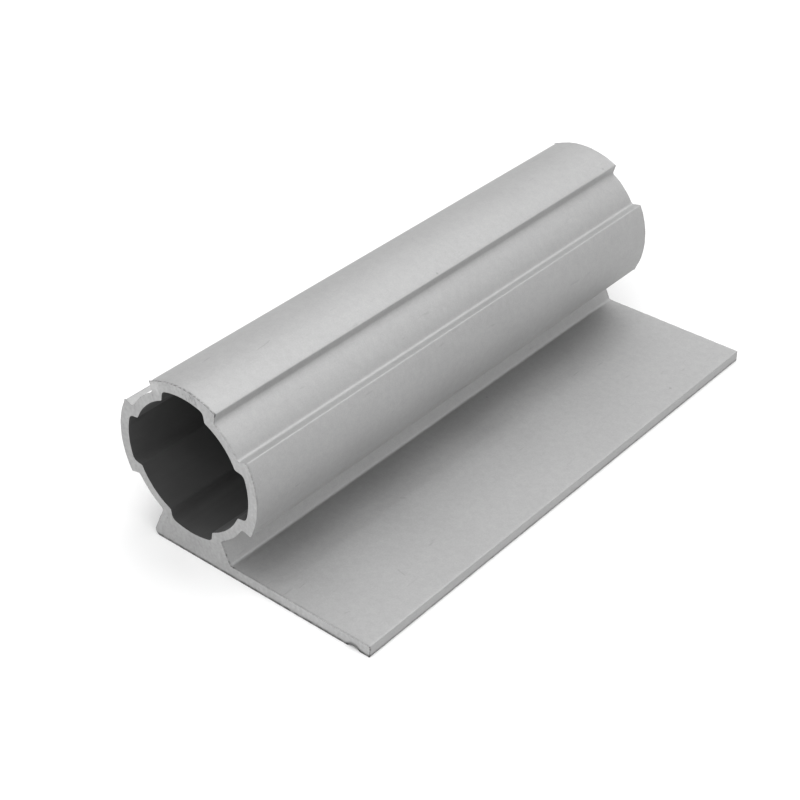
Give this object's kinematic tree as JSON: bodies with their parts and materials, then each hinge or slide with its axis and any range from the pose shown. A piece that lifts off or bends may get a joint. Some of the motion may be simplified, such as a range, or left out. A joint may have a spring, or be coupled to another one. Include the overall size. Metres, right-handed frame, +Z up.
{
  "type": "aluminium extrusion profile",
  "caption": "Cut length of aluminium extrusion: a lobed tube on a wedge foot with a flat flange to one side, for framing with panels.",
  "frame": {"origin": "bottom centre of the overall box, at the middle of the length", "axes": "+Y along the extrusion, +Z up from the flange's underside towards the tube, flange towards +X"},
  "size_m": [0.049, 0.1, 0.0306],
  "materials": {
    "profile": "satin anodised outside, saw-cut ends"
  },
  "bodies": {
    "root": {"flanged_tube_profile": "profile"}
  },
  "joints": []
}
